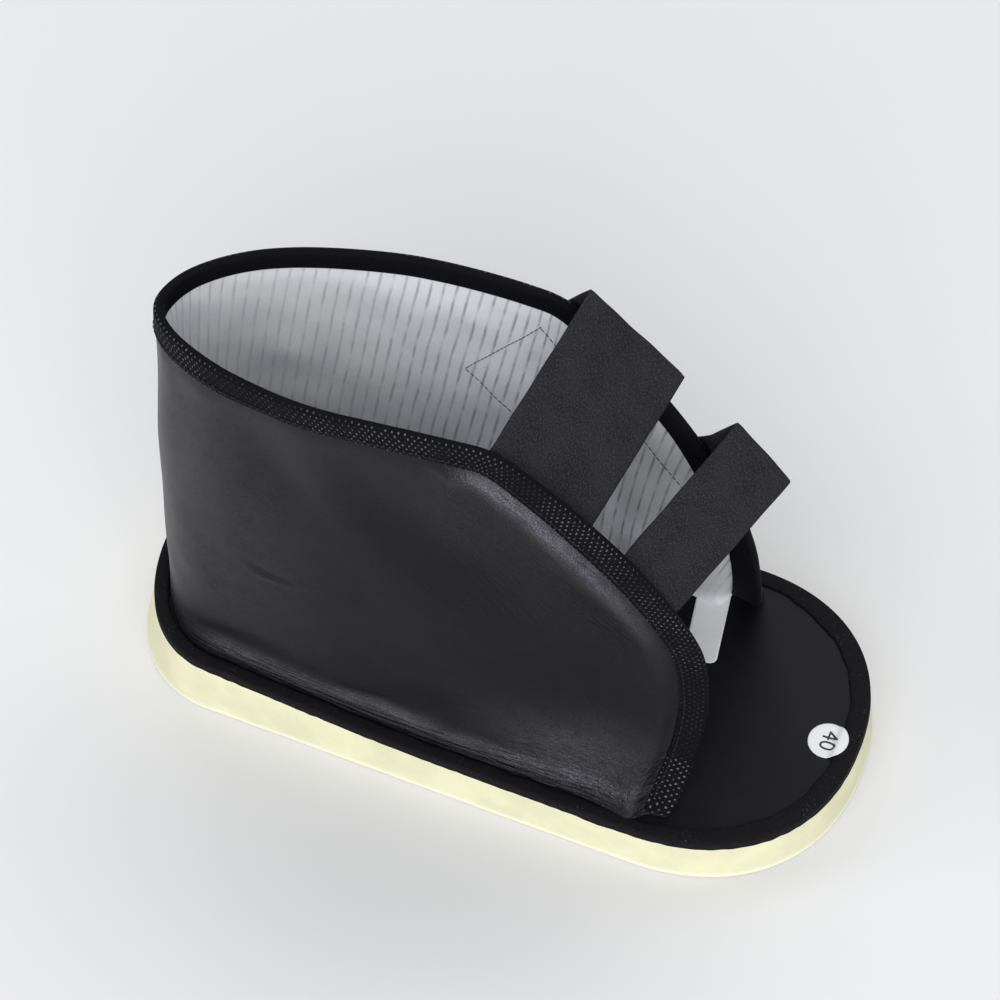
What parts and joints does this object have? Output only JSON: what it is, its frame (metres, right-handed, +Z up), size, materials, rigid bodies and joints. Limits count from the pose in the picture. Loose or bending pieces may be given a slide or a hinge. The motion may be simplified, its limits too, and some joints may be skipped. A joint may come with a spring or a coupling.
{
  "type": "cast shoe",
  "caption": "Open-toed cast shoe with a wedge foam sole, a tall soft leatherette upper with a bound rim, a striped lining and elastic instep straps.",
  "frame": {"origin": "centre of the part's plan box, on the flat underside of the sole", "axes": "+X to the toe, +Y to the side where the straps fasten, +Z up"},
  "size_m": [0.257, 0.1158, 0.1858],
  "materials": {
    "foam": "matte cream foam",
    "insole": "smooth black leatherette",
    "tape": "matte black edge tape",
    "leather": "black leatherette with a soft sheen",
    "lining": "pale grey cloth with fine broken stripes",
    "binding": "black woven binding",
    "elastic": "charcoal woven elastic",
    "fastener": "black loop pile",
    "label": "white satin tape",
    "sticker": "white paper sticker"
  },
  "bodies": {
    "root": {"sole": "foam", "insole": "insole", "sole_tape": "tape", "upper_shell": "leather", "lining": "lining", "top_binding": "binding", "strap_wide": "elastic", "patch_wide": "fastener", "strap_narrow": "elastic", "patch_narrow": "fastener", "label": "label", "size_sticker": "sticker"}
  },
  "joints": []
}
